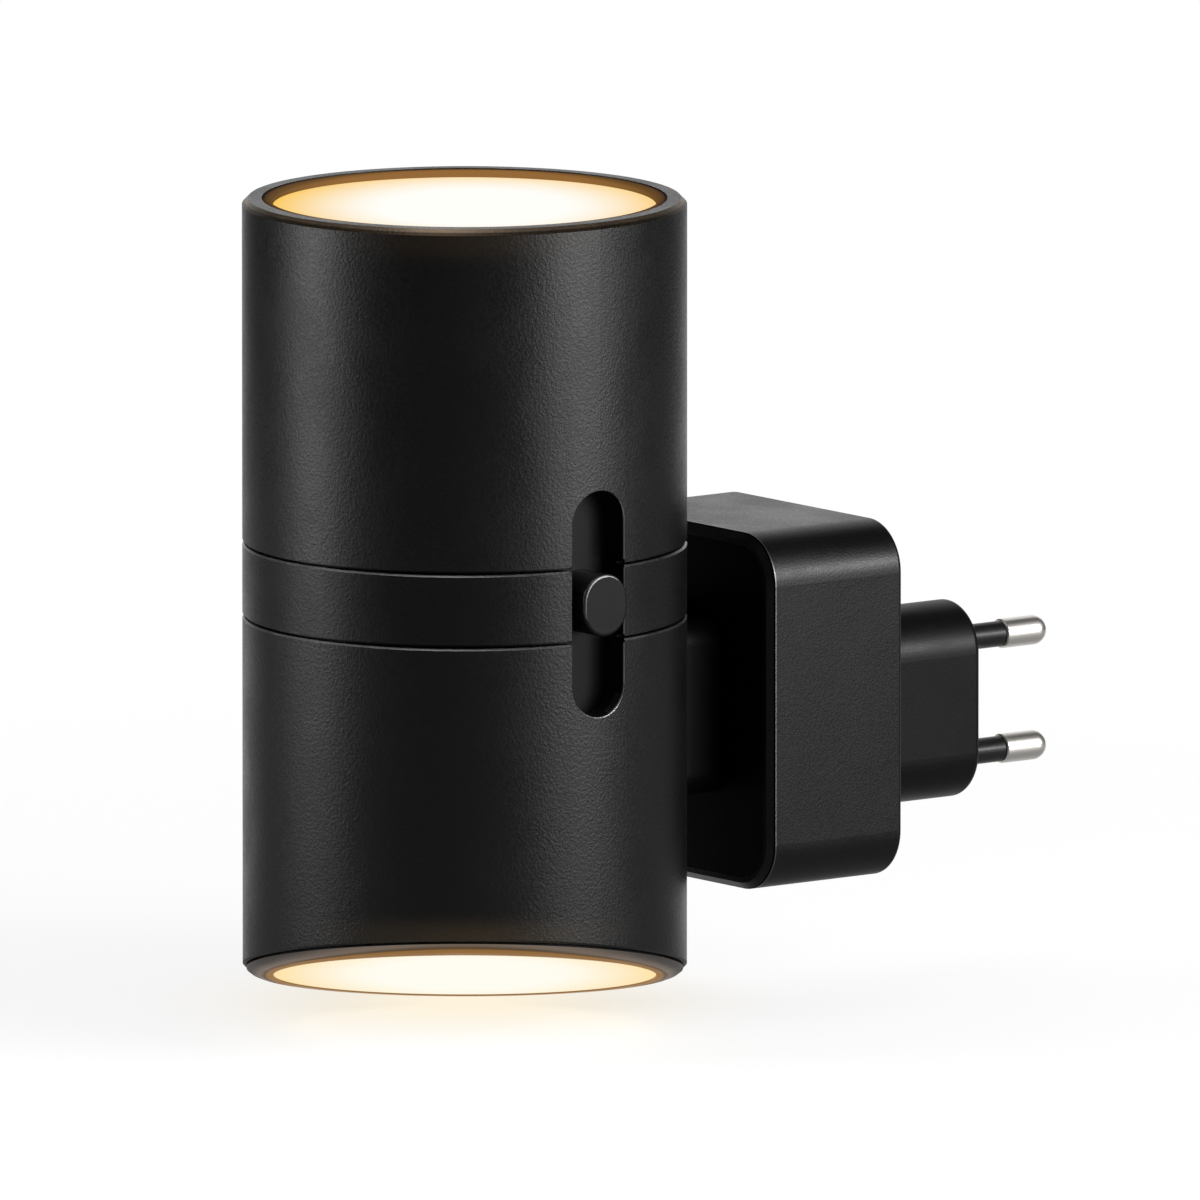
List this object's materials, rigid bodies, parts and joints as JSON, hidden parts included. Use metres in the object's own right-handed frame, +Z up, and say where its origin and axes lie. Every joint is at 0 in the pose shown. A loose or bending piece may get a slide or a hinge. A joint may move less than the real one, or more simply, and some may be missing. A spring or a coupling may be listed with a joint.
{
  "type": "plug-in wall lamp",
  "caption": "Matte black plug-in wall lamp: round up-and-down light head with glowing opal ends, centre band and slide dimmer, held off the wall by a driver box with a pinned plug.",
  "frame": {"origin": "middle of the plug nose's end face, between the two pins", "axes": "+Y along the pins into the wall socket, +X towards the slide knob's side, +Z up"},
  "size_m": [0.0736, 0.1548, 0.1363],
  "materials": {
    "shade_coat": "matte black powder coat",
    "band_coat": "matte black powder coat",
    "bezel_bronze": "smoked bronze tint",
    "opal": "opal, lit warm white",
    "white_plastic": "matte white",
    "board_white": "white solder mask",
    "led_phosphor": "yellow phosphor",
    "sink_metal": "bare, extruded",
    "screw_steel": "zinc plated",
    "frame_plastic": "moulded black",
    "board_green": "green solder mask",
    "can_steel": "tin plated",
    "track_carbon": "carbon track on board",
    "lever_plastic": "moulded black",
    "contact_brass": "spring brass",
    "knob_plastic": "satin black",
    "shutter_plastic": "satin black",
    "lead_insulation": "coloured insulation",
    "neck_plastic": "matte black",
    "box_plastic": "matte black, fine texture",
    "coil_tape": "yellow winding tape",
    "ferrite": "pressed ferrite",
    "capacitor_sleeve": "shrunk sleeve",
    "fuse_body": "glazed",
    "choke_sleeve": "shrunk sleeve",
    "chip_plastic": "moulded package",
    "nose_plastic": "matte black",
    "pin_metal": "nickel plated",
    "sleeve_plastic": "matte black"
  },
  "bodies": {
    "lamp": {"upper_shade": "shade_coat", "lower_shade": "shade_coat", "centre_band": "band_coat", "upper_bezel": "bezel_bronze", "lower_bezel": "bezel_bronze", "upper_diffuser": "opal", "lower_diffuser": "opal", "upper_reflector": "white_plastic", "lower_reflector": "white_plastic", "upper_led_board": "board_white", "lower_led_board": "board_white", "upper_leds": "led_phosphor", "lower_leds": "led_phosphor", "upper_heat_sink": "sink_metal", "lower_heat_sink": "sink_metal", "led_board_screws": "screw_steel", "heat_sink_screws": "screw_steel", "frame_screws": "screw_steel", "liner_screws": "screw_steel", "control_board_screws": "screw_steel", "neck_screws": "screw_steel", "neck_nuts": "screw_steel", "case_screws": "screw_steel", "driver_board_screws": "screw_steel", "plug_screws": "screw_steel", "core_frame": "frame_plastic", "mount_block": "frame_plastic", "slot_liner": "frame_plastic", "control_board": "board_green", "driver_board": "board_green", "dimmer_can": "can_steel", "dimmer_track": "track_carbon", "supply_leads": "lead_insulation", "upper_led_leads": "lead_insulation", "lower_led_leads": "lead_insulation", "mains_leads": "lead_insulation", "neck": "neck_plastic", "driver_case": "box_plastic", "driver_cover": "box_plastic", "transformer_coil": "coil_tape", "transformer_core": "ferrite", "bulk_capacitor": "capacitor_sleeve", "output_capacitor": "capacitor_sleeve", "fuse": "fuse_body", "choke": "choke_sleeve", "controller_chip": "chip_plastic", "plug_nose": "nose_plastic", "upper_pin": "pin_metal", "lower_pin": "pin_metal", "upper_sleeve": "sleeve_plastic", "lower_sleeve": "sleeve_plastic"},
    "slider": {"switch_knob": "knob_plastic", "slide_shutter": "shutter_plastic", "dimmer_slider": "lever_plastic", "dimmer_wiper": "contact_brass"}
  },
  "joints": [
    {"name": "dimmer_slide", "type": "slide", "parent": "lamp", "child": "slider", "axis": [0, 0, 1], "range_m": [-0.0131, 0.0131]}
  ]
}
